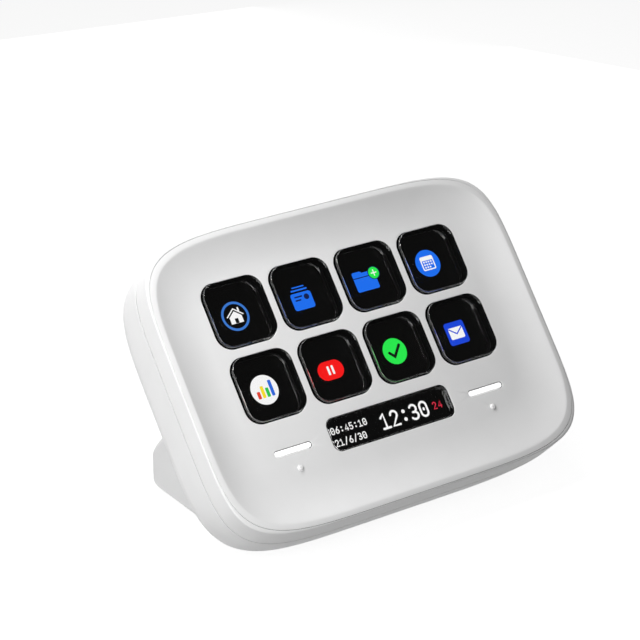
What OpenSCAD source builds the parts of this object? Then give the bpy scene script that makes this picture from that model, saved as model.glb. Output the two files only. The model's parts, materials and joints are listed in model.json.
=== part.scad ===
// Desk keypad with eight display keys, an information strip and two touch bars on a wedge stand.
// Millimetres. +Z is up, +X is the user's right and -Y faces the user. The desk is the plane z = 0.
// The body is drawn in face axes (x right, y up the face, z out of the face), whose origin is the
// middle of the key grid on the floor of the dished front, and is then tilted onto the stand.

/* [Body] */
// Width of the face
face_w = 107; // [104:0.5:116]
// Height of the face, measured up its slope
face_h = 77.8; // [76:0.2:86]
// Squareness of the face outline, the power of its superellipse
outline_power = 5.65; // [5:0.05:7]
// How far the middle of the face lies below the middle of the key grid
face_drop = 7.9; // [7:0.1:9]
// Thickness from the highest line of the lip to the back
body_depth = 26; // [25:0.5:32]
// Angle between the face and the desk
face_tilt = 50; // [42:1:56]
// Height of the key grid's middle above the desk
face_lift = 47; // [46:0.5:56]
// Wall of the front cover where the keys come through
cover_t = 1.8; // [1.6:0.1:2]
// Side and back wall of the covers
wall_t = 2; // [1.6:0.1:2.2]

/* [Dished front] */
// Height of the lip above the floor of the dish
lip_h = 2.75; // [1.5:0.05:4]
// Width of the lip from its outer crease to the dish
lip_w = 1.4; // [1:0.1:2]
// Width of the slope between the lip and the floor of the dish
slope_w = 11.5; // [10:0.1:12]
// Depth of the seam between the covers below the floor of the dish
seam_depth = 4.4; // [3.8:0.1:5]
// Chamfer on each side of the seam
seam_chamfer = 0.15; // [0.1:0.05:0.3]
// Straight length of the rear cover's side wall
rear_side = 8.8; // [7:0.1:10]
// Inward reach of the rounding round the back
back_round = 12; // [9:0.5:14]

/* [Keys] */
// Distance between key centres
key_pitch = 19.6; // [19.2:0.1:20]
// Width of each key opening
key_opening = 17.35; // [17:0.05:17.5]
// Corner radius of each key opening
key_corner = 4.1; // [3:0.1:5]
// Gap between a key cap and its opening
key_gap = 0.25; // [0.2:0.05:0.35]
// Height of the key caps above the floor of the dish
key_rise = 1.3; // [0.8:0.1:2]
// Radius of the rounded top edge of a key cap
key_edge = 0.8; // [0.4:0.1:1]
// Width of the flange that holds a key cap under the cover
flange_lip = 0.5; // [0.4:0.05:0.6]
// Thickness of that flange
flange_t = 0.6; // [0.5:0.1:0.8]
// Depth of the lens block below the flange
lens_drop = 0.7; // [0.4:0.1:0.9]
// Travel of a key
key_travel = 1.2; // [0.8:0.1:1.3]
// Height of a silicone ring that is fully pressed
ring_pressed = 0.5; // [0.4:0.1:1]
// Wall of a silicone ring
ring_wall = 0.9; // [0.7:0.05:1]

/* [Display] */
// Thickness of the switch film
film_t = 0.3; // [0.2:0.05:0.5]
// Width of a window in the switch film
film_window = 16; // [15.9:0.05:16.2]
// Thickness of the display glass
glass_t = 1.2; // [0.8:0.1:1.6]
// Thickness of the backlight
backlight_t = 2.4; // [1.8:0.1:2.6]
// Border of the display beyond the outer film windows
display_border = 2; // [1.6:0.1:2.2]
// Thickness of the inner frame
frame_t = 1.2; // [1:0.1:1.6]

/* [Information strip] */
// Distance from the middle of the lower row of keys down to the strip's middle
strip_drop = 16.35; // [16.1:0.05:17]
// Height of the strip
strip_h = 8.7; // [8:0.1:9]
// Corner radius of the strip
strip_corner = 2.2; // [1.5:0.1:3]
// Thickness of the strip's small display
strip_display_t = 1.7; // [1.2:0.1:1.8]

/* [Touch bars] */
// Length of a touch bar
bar_l = 10.8; // [8:0.1:11.5]
// Width of a touch bar
bar_w = 1.7; // [1.4:0.1:2.2]
// Distance from the middle of the lower row of keys down to the bars
bar_drop = 16.65; // [16.2:0.05:17.2]
// Diameter of the tactile dot below each bar
dot_d = 1.6; // [1:0.1:2.4]
// Distance from the middle of the lower row of keys down to the dots
dot_drop = 21.45; // [20.7:0.05:22.2]

/* [Electronics] */
// Thickness of the circuit boards
board_t = 1.2; // [0.8:0.1:1.6]
// Width of the main board
board_w = 78; // [74:1:80]
// Space between the inner frame and the main board
board_gap = 2.8; // [2.4:0.1:3]
// Distance from the middle of the key grid up to the socket
socket_rise = 8; // [4:0.5:12]
// Width of the socket shell
socket_w = 8.94; // [8.94:0.01:9]
// Thickness of the socket shell
socket_h = 3.26; // [3.2:0.01:3.3]

/* [Stand] */
// Width of the stand
stand_w = 83; // [78:1:90]
// Reach of the stand behind the middle of the key grid
stand_reach = 37.2; // [35:0.2:42]
// Distance from the middle of the key grid down the back to the top of the stand
stand_top = 5.6; // [3:0.1:8]
// Radius of the stand's rear foot edge
foot_r = 3; // [2.5:0.1:4]
// Radius of the stand's rear corners, seen from above
stand_corner = 10; // [6:0.5:12]
// Wall of the stand
stand_wall = 2; // [1.6:0.1:2.2]
// Thickness of the rubber pad
pad_t = 1.2; // [1:0.1:2]
// Part of the pad that stands out below the stand
pad_out = 0.8; // [0.4:0.1:0.9]
// Thickness of the base plate
plate_t = 2; // [1.8:0.1:2.6]
// Thickness of the steel ballast
ballast_t = 4; // [2:0.5:4]

/* [Fasteners] */
// Diameter of a screw's thread
screw_d = 2.4; // [2:0.1:2.4]
// Diameter of a screw's head
head_d = 4.4; // [4:0.1:4.6]
// Height of a screw's head
head_h = 1.5; // [1.2:0.1:1.6]
// Radial gap of a screw in its bore
screw_gap = 0.05; // [0.03:0.01:0.1]

/* [Hidden] */

eps = 0.01;                 // overreach of a cut past the face that it opens
$fn = 48;
outline_steps = 72;         // points round a cover outline
corner_steps = 6;           // points less one round each key cap corner
slope_steps = 6;            // rings down the dish
back_steps = 7;             // rings round the back
edge_steps = 4;             // rings round a key cap's top edge
columns = 4;
rows = 2;

half_w = face_w / 2;
half_h = face_h / 2;
back_z = lip_h - body_depth;
crease_z = 0.8 * lip_h;
side_end = -seam_depth - rear_side;
back_power = outline_power - 1.1;

// Key stack, from the cover inward
cap_w = key_opening - 2 * key_gap;
flange_w = key_opening + 2 * flange_lip;
guide_gap = 0.2;
guide_hole = flange_w + 2 * guide_gap;
guide_edge = 1.2;
flange_z = -cover_t - flange_t;
lens_z = flange_z - lens_drop;
ring_h = key_travel + ring_pressed;
film_z = flange_z - ring_h;
glass_z = film_z - film_t;
backlight_z = glass_z - glass_t;
frame_z = backlight_z - backlight_t;
frame_back_z = frame_z - frame_t;
lens_w = film_window - 0.4;
ring_w = guide_hole - 0.75;

grid_w = (columns - 1) * key_pitch;
grid_h = (rows - 1) * key_pitch;
display_w = grid_w + film_window + 2 * display_border;
display_h = grid_h + film_window + 2 * display_border;
bezel = 0.4;                // how far the backlight frame stands out round the glass
fit_gap = 0.2;              // gap round the pieces that drop into the inner frame
rim_t = 1;                  // wall of the rim that holds the display
rim_in_w = display_w + 2 * bezel + 2 * fit_gap;
rim_in_h = display_h + 2 * bezel + 2 * fit_gap;

// Information strip: its window lines up with the outer edges of the two middle keys
strip_y = -grid_h / 2 - strip_drop;
strip_w = key_pitch + key_opening;
window_gap = 0.15;
window_lip = 1;
window_flange = 0.5;
strip_display_z = -cover_t - window_flange;
strip_ledge = 0.8;          // driver ledge at the lower edge of the strip's display

// Touch bars stand under the outer key columns
bar_x = 1.5 * key_pitch;
bar_y = -grid_h / 2 - bar_drop;
dot_y = -grid_h / 2 - dot_drop;
bar_gap = 0.1;
bar_lip = 0.7;
bar_flange = 0.8;
led_h = 0.6;
touch_z = -cover_t - bar_flange - led_h - fit_gap;
touch_t = 1;
touch_w = 17;
touch_h = 8;
header_w = 6;
header_h = 2.5;
touch_boss_d = 2.4;
touch_boss_x = bar_l / 2 + bar_lip + touch_boss_d / 2 + 0.3;

// Main board
board_z = frame_back_z - board_gap;
board_back_z = board_z - board_t;
board_over = 10;            // from the middle of the upper row of keys up to the board's edge
board_under = 4.8;          // from the strip's middle down to the board's edge
board_top = grid_h / 2 + board_over;
board_bottom = strip_y - board_under;
chip_h = 1.4;
processor_w = 10;
memory_w = 8;
driver_w = 6;
part_w = 2.4;               // small part
part_pitch = 4;             // distance between the small parts in their row
can_d = 4;                  // capacitor can
can_h = 3;
connector_h = 4;
display_plug_w = 24;
info_plug_w = 14;
switch_plug_w = 8;
switch_plug_h = 3;

// Posts and screws
post_d = 4.6;
post_gap = 0.45;            // between a post and the rim that holds the display
post_x = rim_in_w / 2 + rim_t + post_gap + post_d / 2;
post_y = 23;                // from the middle of the face
post_end = board_z;
post_hole_d = post_d + 0.7;
boss_d = 7;
board_notch = 0.4;          // gap between the main board and the bosses of the rear cover
frame_boss_d = 4.6;
frame_boss_gap = 0.4;       // between a frame boss and the rim that holds the display
frame_boss_at = [
    [rim_in_w / 2 + rim_t + frame_boss_gap + frame_boss_d / 2, 4],
    [24, -half_h - face_drop + 7.8]
];
board_boss_d = 4.4;
board_screw_x = board_w / 2 - 3;
board_screw_away = 8;       // from a post to a board screw, along the board's edge
board_screw_y = [post_y - board_screw_away - face_drop, board_screw_away - post_y - face_drop];
bore_d = screw_d + 2 * screw_gap;
pass_d = screw_d + 0.5;
well_d = head_d + 0.6;
seat_t = 2;                 // boss between a cover screw's head and the front post
hub_d = 6;
hub_h = 4.5;                // rise of a hub above the inside of the back

// Stand, in desk axes measured from the face origin
stand_z = pad_out;
plate_z = pad_t;
plate_top = plate_z + plate_t;
stand_front = -5;
stand_bottom_y = -half_h - face_drop + back_round;
stand_screw_x = 28;
stand_screw_rise = 4.8;     // of the lower screws, above the lower end of the flat back
stand_screw_pitch = 12;
stand_screw_y = [for (k = [1, 0]) stand_bottom_y + stand_screw_rise + k * stand_screw_pitch];
plate_screw_x = stand_w / 2 - 6;
stand_boss_d = 5.4;
plate_screw_y = [4, stand_reach - 10];
plate_gap = 0.2;
head_recess = 0.1;          // depth of a plate screw's head below the plate's lower face
screw_bite = 3.2;           // thread of a plate screw in its boss
floor_rear = stand_reach - foot_r - 0.3;
foot_steps = 8;
ballast_margin = 7;
ballast_side = 10.5;
ballast_corner = 2;

// Place of the face origin: the whole object is centred on x = 0 and y = 0
front_reach = (half_h + face_drop) * cos(face_tilt) + crease_z * sin(face_tilt);
face_y = (front_reach - stand_reach) / 2;

// Superellipse outline at height z, with the given inset and power
function outline(inset, z, power) = [
    for (i = [0:outline_steps - 1])
        let (a = 360 * (i + 0.5) / outline_steps, c = cos(a), s = sin(a))
        [(half_w - inset) * sign(c) * pow(abs(c), 2 / power),
         (half_h - inset) * sign(s) * pow(abs(s), 2 / power) - face_drop,
         z]
];

// Rounded square outline at height z
function square_ring(w, r, z) = [
    for (q = [0:3], k = [0:corner_steps])
        let (a = 90 * q + 90 * k / corner_steps, sx = (q == 0 || q == 3) ? 1 : -1, sy = q < 2 ? 1 : -1)
        [sx * (w / 2 - r) + r * cos(a), sy * (w / 2 - r) + r * sin(a), z]
];

// Height of the dish at a given inset from the outer edge
function dish_z(inset) =
    let (s = min(1, max(0, (lip_w + slope_w - inset) / slope_w)))
    0.92 * lip_h * s * s;

// A point of the face's y-z plane in desk axes, measured from the face origin along y
function desk(y, z) = [
    y * cos(face_tilt) - z * sin(face_tilt),
    face_lift + y * sin(face_tilt) + z * cos(face_tilt)
];

function key_x(n) = ((n - 1) % columns - (columns - 1) / 2) * key_pitch;
function key_y(n) = ((rows - 1) / 2 - floor((n - 1) / columns)) * key_pitch;

// Closed solid through a list of rings that all have the same number of points
module loft(rings) {
    n = len(rings[0]);
    last = len(rings) - 1;
    points = [for (ring = rings) each ring];
    bottom = [for (i = [0:n - 1]) i];
    top = [for (i = [n - 1:-1:0]) last * n + i];
    side_a = [for (r = [0:last - 1], i = [0:n - 1]) [r * n + i, (r + 1) * n + i, r * n + (i + 1) % n]];
    side_b = [for (r = [0:last - 1], i = [0:n - 1])
        [r * n + (i + 1) % n, (r + 1) * n + i, (r + 1) * n + (i + 1) % n]];
    polyhedron(points = points, faces = concat([bottom], side_a, side_b, [top]));
}

module in_face() {
    translate([0, face_y, face_lift]) rotate([face_tilt, 0, 0]) children();
}

module rounded_rect(w, h, r) {
    square([w - 2 * r, h], center = true);
    square([w, h - 2 * r], center = true);
    for (x = [-1, 1], y = [-1, 1]) translate([x * (w / 2 - r), y * (h / 2 - r)]) circle(r);
}

// Prism of a rounded rectangle from z0 up to z1
module tile(w, h, r, z0, z1) {
    translate([0, 0, z0]) linear_extrude(z1 - z0) rounded_rect(w, h, r);
}

module slot_prism(l, w, z0, z1) {
    translate([0, 0, z0]) linear_extrude(z1 - z0) {
        square([l - w, w], center = true);
        for (x = [-1, 1]) translate([x * (l - w) / 2, 0]) circle(d = w);
    }
}

module rod(d, z0, z1) {
    translate([0, 0, z0]) cylinder(d = d, h = z1 - z0);
}

module at_keys() {
    for (n = [1:columns * rows]) translate([key_x(n), key_y(n), 0]) children();
}

module at_posts() {
    for (x = [-1, 1], y = [-1, 1]) translate([x * post_x, y * post_y - face_drop, 0]) children();
}

module at_frame_bosses() {
    for (x = [-1, 1], at = frame_boss_at) translate([x * at[0], at[1], 0]) children();
}

module at_board_screws() {
    for (x = [-1, 1], y = board_screw_y) translate([x * board_screw_x, y, 0]) children();
}

module at_stand_screws() {
    for (x = [-1, 1], y = stand_screw_y) translate([x * stand_screw_x, y, 0]) children();
}

module at_plate_screws() {
    for (x = [-1, 1], y = plate_screw_y) translate([x * plate_screw_x, face_y + y, 0]) children();
}

// Strip of a given thickness along a path in the y-z plane of the face
module ribbon(path, width, x) {
    last = len(path) - 1;
    normals = [
        for (i = [0:last])
            let (d = path[min(i + 1, last)] - path[max(i - 1, 0)])
            [-d[1], d[0]] / norm(d)
    ];
    edge_a = [for (i = [0:last]) path[i] + normals[i] * ribbon_t / 2];
    edge_b = [for (i = [last:-1:0]) path[i] - normals[i] * ribbon_t / 2];
    translate([x - width / 2, 0, 0]) rotate([90, 0, 90])
        linear_extrude(width) polygon(concat(edge_a, edge_b));
}

// Screw with its head below z and its thread above, pointing out of the face
module screw_up(z, length) {
    difference() {
        union() {
            rod(head_d, z - head_h, z);
            rod(screw_d, z, z + length);
        }
        translate([0, 0, z - head_h - eps]) for (a = [0, 90]) rotate(a)
            translate([-head_d / 4, -0.3, 0]) cube([head_d / 2, 0.6, head_h / 2]);
    }
}

// --- Covers ---

module front_shape() {
    loft(concat(
        [
            outline(seam_chamfer, -seam_depth, outline_power),
            outline(0, -seam_depth + seam_chamfer, outline_power),
            outline(0, crease_z, outline_power),
            outline(0.2 * lip_w, 0.93 * lip_h, outline_power),
            outline(0.5 * lip_w, lip_h, outline_power),
            outline(0.8 * lip_w, 0.98 * lip_h, outline_power)
        ],
        [for (k = [0:slope_steps]) let (i = lip_w + slope_w * k / slope_steps)
            outline(i, dish_z(i), outline_power - 0.9 * k / slope_steps)]
    ));
}

module front_cavity() {
    loft(concat(
        [
            outline(wall_t, -seam_depth - 1, outline_power),
            outline(wall_t, dish_z(wall_t + 0.6) - cover_t - 0.4, outline_power)
        ],
        [for (k = [1:slope_steps]) let (i = lip_w + slope_w * k / slope_steps)
            outline(i, dish_z(i) - cover_t, outline_power - 0.9 * k / slope_steps)]
    ));
}

module front_cover() color("whitesmoke") in_face() difference() {
    union() {
        difference() {
            front_shape();
            front_cavity();
        }
        at_posts() rod(post_d, post_end, dish_z(half_w - post_x) - cover_t / 2);
        at_frame_bosses() rod(frame_boss_d, frame_z, -cover_t / 2);
        for (side = [-1, 1], x = [-1, 1])
            translate([side * bar_x + x * touch_boss_x, bar_y, 0])
                rod(touch_boss_d, touch_z, -cover_t / 2);
        for (side = [-1, 1]) translate([side * bar_x, dot_y, -cover_t / 2])
            cylinder(d1 = 1.2 * dot_d, d2 = 0.7 * dot_d, h = cover_t / 2 + 0.35);
    }
    at_keys() tile(key_opening, key_opening, key_corner, -cover_t - eps, lip_h);
    translate([0, strip_y, 0]) tile(strip_w, strip_h, strip_corner, -cover_t - eps, lip_h);
    for (side = [-1, 1]) translate([side * bar_x, bar_y, 0])
        slot_prism(bar_l, bar_w, -cover_t - eps, lip_h);
    at_posts() rod(bore_d, post_end - eps, post_end + 8.4);
    at_frame_bosses() rod(bore_d, frame_z - eps, frame_z + 4.4);
}

module rear_shape() {
    loft(concat(
        [for (k = [back_steps:-1:1]) let (a = 90 * k / back_steps)
            outline(back_round * (1 - cos(a)), side_end + (back_z - side_end) * sin(a),
                outline_power + (back_power - outline_power) * sin(a))],
        [
            outline(0, side_end, outline_power),
            outline(0, -seam_depth - seam_chamfer, outline_power),
            outline(seam_chamfer, -seam_depth, outline_power)
        ]
    ));
}

module rear_cavity() {
    loft(concat(
        [for (k = [back_steps:-1:1]) let (a = 90 * k / back_steps)
            outline(wall_t + (back_round - wall_t) * (1 - cos(a)),
                side_end + (back_z + wall_t - side_end) * sin(a),
                outline_power + (back_power - outline_power) * sin(a))],
        [
            outline(wall_t, side_end, outline_power),
            outline(wall_t, -seam_depth + 1, outline_power)
        ]
    ));
}

// Tongue of the rear cover that centres the front cover
module rear_tongue() {
    tongue_in = wall_t + 1.2;
    difference() {
        union() {
            loft([
                outline(wall_t - 0.3, -seam_depth - 2.2, outline_power),
                outline(wall_t - 0.3, -seam_depth, outline_power)
            ]);
            loft([
                outline(wall_t + 0.15, -seam_depth - 1, outline_power),
                outline(wall_t + 0.15, -seam_depth + 1.5, outline_power)
            ]);
        }
        loft([
            outline(tongue_in, -seam_depth - 3, outline_power),
            outline(tongue_in, -seam_depth + 2, outline_power)
        ]);
        at_posts() rod(post_d + 2 * fit_gap, -seam_depth - 3, -seam_depth + 2);
    }
}

module rear_cover() color("gainsboro") in_face() difference() {
    union() {
        difference() {
            rear_shape();
            rear_cavity();
        }
        rear_tongue();
        intersection() {
            at_posts() rod(boss_d, back_z - 1, post_end);
            rear_shape();
        }
        at_stand_screws() rod(hub_d, back_z + wall_t / 2, back_z + wall_t + hub_h);
    }
    at_posts() rod(well_d, back_z - 1, post_end - seat_t);
    at_posts() rod(pass_d, back_z, post_end + eps);
    at_stand_screws() rod(bore_d, back_z - eps, back_z + wall_t + 0.9 * hub_h);
    translate([0, socket_rise, 0]) {
        slot_prism(socket_w + 0.2, socket_h + 0.2, back_z - eps, back_z + wall_t + eps);
        slot_prism(socket_w + 4, socket_h + 4, back_z - eps, back_z + 0.5);
    }
}

// --- Keys ---

module key_cap(n) color([0.1, 0.1, 0.12]) in_face() translate([key_x(n), key_y(n), 0]) {
    cap_r = key_corner - key_gap;
    loft(concat(
        [
            square_ring(lens_w, cap_r - 0.6, lens_z),
            square_ring(lens_w, cap_r - 0.6, flange_z),
            square_ring(flange_w, key_corner + flange_lip, flange_z),
            square_ring(flange_w, key_corner + flange_lip, -cover_t),
            square_ring(cap_w, cap_r, -cover_t)
        ],
        [for (k = [0:edge_steps]) let (a = 90 * k / edge_steps, d = key_edge * (1 - cos(a)))
            square_ring(cap_w - 2 * d, cap_r - d, key_rise - key_edge * (1 - sin(a)))]
    ));
}

module silicone_ring(n) color("dimgray") in_face() translate([key_x(n), key_y(n), 0]) {
    ring_in = ring_w - 2 * ring_wall;
    difference() {
        tile(ring_w, ring_w, key_corner + 0.3, film_z, flange_z);
        tile(ring_in, ring_in, key_corner - 0.5, film_z - eps, flange_z + eps);
    }
}

module key_guide() color([0.08, 0.08, 0.08]) in_face() difference() {
    tile(grid_w + guide_hole + 2 * guide_edge, grid_h + guide_hole + 2 * guide_edge, 5,
        film_z, -cover_t);
    at_keys() tile(guide_hole, guide_hole, key_corner + 0.7, film_z - eps, -cover_t + eps);
}

// --- Displays ---

module switch_film() color("darkgoldenrod") in_face() difference() {
    tile(display_w, display_h, 1, glass_z, film_z);
    at_keys() tile(film_window, film_window, key_corner - 0.5, glass_z - eps, film_z + eps);
}

module display_glass() color("midnightblue") in_face()
    tile(display_w, display_h, 0.5, backlight_z, glass_z);

module display_backlight() color("silver") in_face()
    tile(display_w + 2 * bezel, display_h + 2 * bezel, 1, frame_z, backlight_z);

module info_window() color([0.05, 0.05, 0.06]) in_face() translate([0, strip_y, 0]) {
    tile(strip_w - 2 * window_gap, strip_h - 2 * window_gap, strip_corner - window_gap,
        -cover_t - eps, 0);
    tile(strip_w + 2 * window_lip, strip_h + 2 * window_lip, strip_corner,
        strip_display_z, -cover_t);
}

module info_display() color("darkslategray") in_face()
    translate([0, strip_y - strip_ledge / 2, 0])
        tile(strip_w + 2 * window_lip, strip_h + 2 * window_lip + strip_ledge, 0.5,
            strip_display_z - strip_display_t, strip_display_z);

// --- Touch bars ---

module light_bar(side) color("white") in_face() translate([side * bar_x, bar_y, 0]) {
    slot_prism(bar_l - 2 * bar_gap, bar_w - 2 * bar_gap, -cover_t - eps, 0.1);
    slot_prism(bar_l + 2 * bar_lip, bar_w + 2 * bar_lip, -cover_t - bar_flange, -cover_t);
}

module touch_board(side) color("darkgreen") in_face() translate([side * bar_x, bar_y, 0]) {
    tile(touch_w, touch_h, 0.8, touch_z - touch_t, touch_z);
    for (k = [-1:1]) translate([k * bar_l / 3, 0, touch_z + led_h / 2])
        cube([1.6, 0.8, led_h + eps], center = true);
}

// Header that stands between a touch board and the main board
module touch_headers() color([0.12, 0.12, 0.12]) in_face()
    for (side = [-1, 1]) translate([side * bar_x, bar_y, 0])
        tile(header_w, header_h, 0.3, board_z, touch_z - touch_t);

// --- Inner frame and boards ---

strip_rib_w = 18;
display_ribbon_w = 20;
info_ribbon_w = 12;
switch_ribbon_w = 6;
ribbon_room = 2;            // room for a ribbon beyond its width
ribbon_t = 0.25;
ribbon_bend = 0.9;          // radius of a ribbon's bends
slot_w = 2.2;               // width of a ribbon slot
info_edge_y = strip_y - strip_h / 2 - window_lip - strip_ledge;
display_slot_y = rim_in_h / 2 + rim_t + 0.3 + slot_w / 2;
info_slot_y = info_edge_y - 0.3 - slot_w / 2;
switch_slot_y = -rim_in_h / 2 - rim_t - slot_w / 2;
switch_reach = 2.4;         // from the switch ribbon's slot to its plug
switch_in = 14.5;           // from the middle of the first key column in to the switch ribbon
switch_x = -bar_x + switch_in;

module inner_frame() color([0.2, 0.2, 0.22]) in_face() difference() {
    union() {
        loft([
            outline(3.6, frame_back_z, outline_power),
            outline(3.6, frame_z, outline_power)
        ]);
        difference() {
            tile(rim_in_w + 2 * rim_t, rim_in_h + 2 * rim_t, 1.6, frame_back_z, glass_z);
            tile(rim_in_w, rim_in_h, 1.2, frame_z, glass_z + eps);
        }
        for (y = [-1, 1]) translate([0, strip_y + y * (strip_h / 2 - 1), 0])
            tile(strip_rib_w, 1.4, 0.3, frame_back_z, strip_display_z - strip_display_t);
        at_board_screws() rod(board_boss_d, board_z, frame_back_z + eps);
    }
    at_posts() {
        rod(post_hole_d, frame_back_z - eps, frame_z + eps);
        translate([0, 0, frame_z - frame_t / 2])
            cube([post_hole_d, post_hole_d / 2, frame_t + 2 * eps], center = true);
    }
    at_frame_bosses() rod(pass_d, frame_back_z - eps, frame_z + eps);
    at_board_screws() rod(bore_d, board_z - eps, frame_back_z + 0.4);
    translate([0, display_slot_y, 0])
        tile(display_ribbon_w + ribbon_room, slot_w, 1, frame_back_z - eps, frame_z + eps);
    translate([-(display_ribbon_w + ribbon_room) / 2, rim_in_h / 2 - eps, backlight_z])
        cube([display_ribbon_w + ribbon_room, rim_t + 2 * eps, glass_t + eps]);
    translate([0, info_slot_y, 0])
        tile(info_ribbon_w + 2 * ribbon_room, slot_w, 1, frame_back_z - eps, frame_z + eps);
    translate([switch_x, switch_slot_y, 0])
        tile(switch_ribbon_w + 1.5 * ribbon_room, 0.75 * slot_w, 0.7, frame_back_z - eps, frame_z + eps);
    for (side = [-1, 1]) translate([side * bar_x, bar_y, 0])
        tile(header_w + 1, header_h + 1, 0.5, frame_back_z - eps, frame_z + eps);
}

module main_board() color("darkgreen") in_face() difference() {
    translate([0, (board_top + board_bottom) / 2, 0])
        tile(board_w, board_top - board_bottom, 2, board_back_z, board_z);
    at_board_screws() rod(pass_d, board_back_z - eps, board_z + eps);
    at_posts() rod(boss_d + 2 * board_notch, board_back_z - eps, board_z + eps);
}

// Block on the back of the main board
module chip(x, y, w, h, t) {
    translate([x - w / 2, y - h / 2, board_back_z - t]) cube([w, h, t]);
}

module board_chips() color([0.1, 0.1, 0.1]) in_face() {
    chip(-1.4 * processor_w, -0.6 * processor_w, processor_w, processor_w, 0.85 * chip_h);
    chip(0.5 * memory_w, -1.25 * memory_w, memory_w, 0.75 * memory_w, chip_h);
    chip(2 * memory_w, -0.5 * memory_w, 0.62 * memory_w, 0.5 * memory_w, chip_h);
    chip(-5 * driver_w, -0.3 * driver_w, driver_w, driver_w, 1.15 * chip_h);
    chip(4.6 * driver_w, 0.3 * driver_w, driver_w, 1.15 * driver_w, chip_h);
    for (k = [-1.5:1.5]) chip(k * part_pitch, -4.5 * part_pitch, part_w, 0.7 * part_w, 0.7 * chip_h);
    for (k = [5.5, 8]) translate([k * can_d, -3.5 * can_d, 0])
        rod(can_d, board_back_z - can_h, board_back_z);
}

module board_connectors() color("ivory") in_face() {
    chip(0, board_top - connector_h, display_plug_w, connector_h, chip_h);
    chip(0, board_bottom + connector_h, info_plug_w, connector_h, chip_h);
    translate([switch_x - switch_plug_w / 2, switch_slot_y - switch_reach - switch_plug_h, board_z])
        cube([switch_plug_w, switch_plug_h, chip_h]);
}

// Path of a ribbon from a start point, round a bend at y = bend_y, down to z = out, and back to
// y = end_y
function ribbon_path(start, bend_y, out, end_y) =
    let (
        inward = sign(start[0] - bend_y) * ribbon_bend,
        outward = sign(end_y - bend_y) * ribbon_bend
    )
    [
        start, [bend_y + inward, start[1]], [bend_y + 0.3 * inward, start[1] - 0.25 * ribbon_bend],
        [bend_y, start[1] - ribbon_bend], [bend_y, out + ribbon_bend],
        [bend_y + 0.3 * outward, out + 0.3 * ribbon_bend], [bend_y + outward, out], [end_y, out]
    ];

module display_ribbon() color("peru") in_face()
    ribbon(ribbon_path([display_h / 2 + eps, (glass_z + backlight_z) / 2], display_slot_y,
        board_back_z - chip_h / 2, board_top - connector_h / 2 + eps), display_ribbon_w, 0);

module info_ribbon() color("peru") in_face()
    ribbon(ribbon_path([info_edge_y - eps, strip_display_z - strip_display_t / 2], info_slot_y,
        board_back_z - chip_h / 2, board_bottom + connector_h / 2 - eps), info_ribbon_w, 0);

module switch_ribbon() color("goldenrod") in_face()
    ribbon(ribbon_path([-display_h / 2 - eps, (film_z + glass_z) / 2], switch_slot_y,
        board_z + chip_h / 2, switch_slot_y - switch_reach + eps), switch_ribbon_w, switch_x);

module usb_c_shell() color("silver") in_face() translate([0, socket_rise, 0]) difference() {
    slot_prism(socket_w, socket_h, back_z + 0.2, board_back_z);
    slot_prism(socket_w - 0.6, socket_h - 0.6, back_z, board_back_z - 1);
}

module usb_c_tongue() color([0.1, 0.1, 0.1]) in_face() translate([0, socket_rise, 0])
    tile(6.7, 0.7, 0.3, back_z + 1.2, board_back_z - 1);

// --- Screws inside the body ---

module cover_screws() color("dimgray") in_face() at_posts() screw_up(post_end - seat_t, 9.5);

module frame_screws() color("dimgray") in_face() at_frame_bosses() screw_up(frame_back_z, 4.5);

module board_screws() color("dimgray") in_face() at_board_screws() screw_up(board_back_z, 3.8);

// --- Stand ---

// Side profile of the stand with an inset, from its floor level up, with its rear edge rounded
// from the given angle
function stand_profile(inset, floor_z, from) =
    let (
        centre = [stand_reach - foot_r, stand_z + foot_r],
        r = foot_r - inset,
        peak = desk(-stand_top - inset, back_z - inset),
        heel = desk(stand_bottom_y, back_z - inset),
        away = peak - centre,
        tangent = atan2(away[1], away[0]) - acos(r / norm(away)),
        front_z = heel[1] + (stand_front + inset - heel[0]) * tan(face_tilt)
    )
    concat(
        [[stand_front + inset, floor_z], [centre[0] + r * cos(from), floor_z]],
        [for (k = [1:foot_steps]) let (a = from + (tangent - from) * k / foot_steps)
            [centre[0] + r * cos(a), max(floor_z, centre[1] + r * sin(a))]],
        [peak, [stand_front + inset, front_z]]
    );

// Plan of the stand with a side inset, up to a rear edge: only its rear corners are rounded
module stand_plan(inset, rear) {
    front = stand_front + inset;
    corner = stand_corner - inset;
    translate([0, face_y + front]) intersection() {
        translate([0, (rear - front - corner) / 2])
            rounded_rect(stand_w - 2 * inset, rear - front + corner, corner);
        translate([-stand_w / 2, 0]) square([stand_w, rear - front]);
    }
}

module stand_solid(inset, floor_z, from) {
    intersection() {
        translate([0, face_y, 0]) rotate([90, 0, 90])
            linear_extrude(stand_w, center = true) polygon(stand_profile(inset, floor_z, from));
        linear_extrude(face_lift) stand_plan(inset, stand_reach - inset);
    }
}

module stand_shell() color("gainsboro") difference() {
    union() {
        difference() {
            stand_solid(0, stand_z, -90);
            stand_solid(stand_wall, plate_top, 0);
            translate([0, 0, stand_z - eps]) linear_extrude(plate_top - stand_z + 2 * eps)
                stand_plan(stand_wall, floor_rear);
        }
        intersection() {
            at_plate_screws() rod(stand_boss_d, plate_top, face_lift);
            stand_solid(stand_wall / 2, stand_z, -90);
        }
    }
    at_plate_screws() rod(bore_d, plate_top - eps, plate_top + screw_bite + 0.2);
    in_face() at_stand_screws() rod(pass_d, back_z - stand_wall - 1, back_z + 1);
}

// Slab that drops into the stand from below
module stand_floor(z0, z1) {
    translate([0, 0, z0]) linear_extrude(z1 - z0)
        stand_plan(stand_wall + plate_gap, floor_rear - plate_gap);
}

module stand_plate() color([0.25, 0.25, 0.26]) difference() {
    stand_floor(plate_z, plate_top);
    at_plate_screws() rod(pass_d, plate_z - eps, plate_top + eps);
    at_plate_screws() rod(well_d, plate_z - eps, plate_z + head_h + head_recess);
}

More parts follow.
